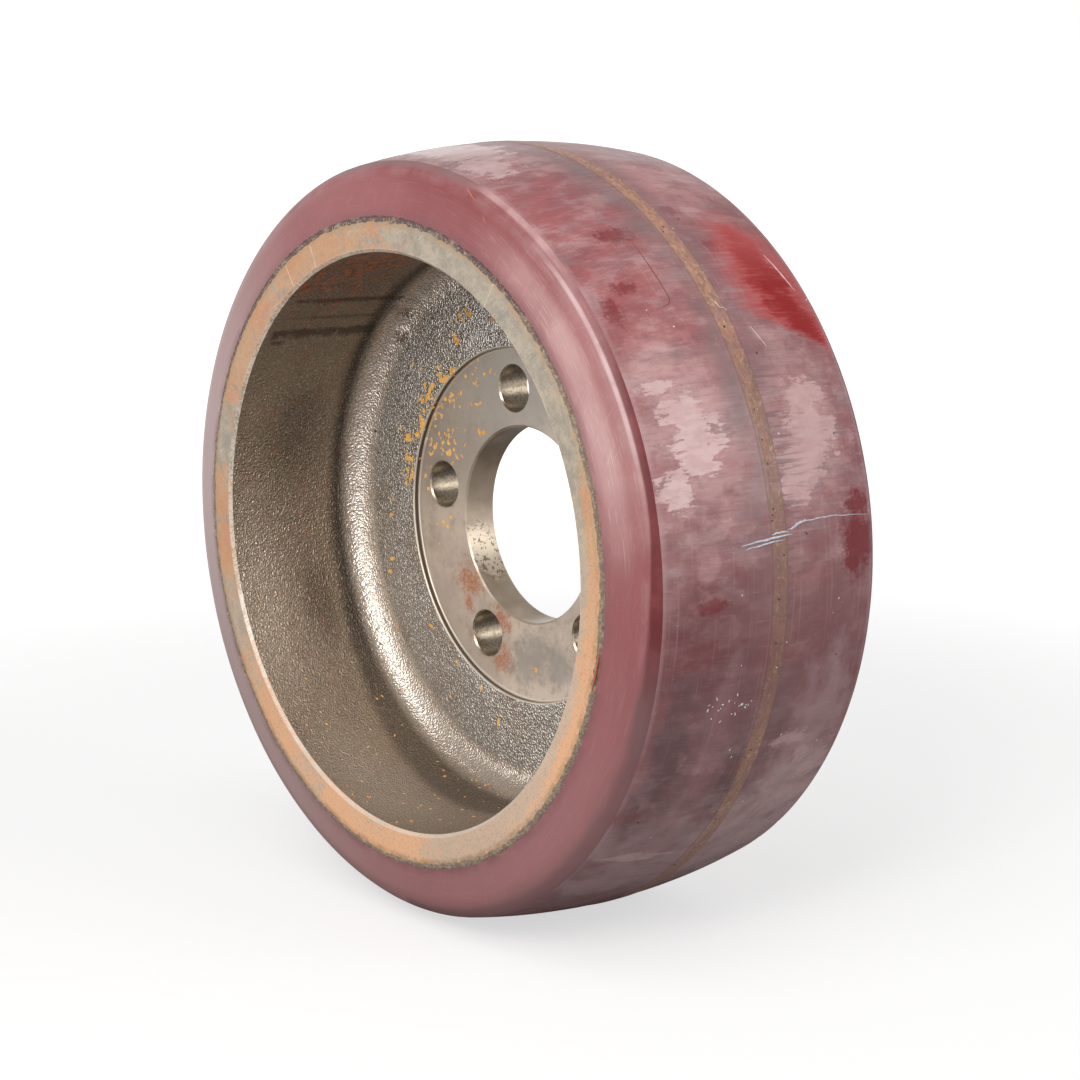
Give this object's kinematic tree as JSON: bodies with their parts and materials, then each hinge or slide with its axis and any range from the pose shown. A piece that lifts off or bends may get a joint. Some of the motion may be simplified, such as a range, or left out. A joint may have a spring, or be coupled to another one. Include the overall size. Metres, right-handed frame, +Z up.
{
  "type": "polyurethane drive wheel",
  "caption": "Bolt-on drive wheel: dished cast iron centre with a pilot bore and bolt circle, and a bonded polyurethane tread with a crowned running surface.",
  "frame": {"origin": "wheel centre: on the axis, at the middle of the rim's width", "axes": "+Y along the wheel's axis, away from the deep dish; +Z up; the dish opens towards -Y"},
  "size_m": [0.25, 0.101, 0.25],
  "materials": {
    "cast_iron": "as cast inside the dish, turned on the rim ends, seats and bore, with light rust",
    "polyurethane": "dark red, semi-gloss, scuffed and hazed with use"
  },
  "bodies": {
    "root": {"cast_iron_hub": "cast_iron", "polyurethane_tread": "polyurethane"}
  },
  "joints": []
}
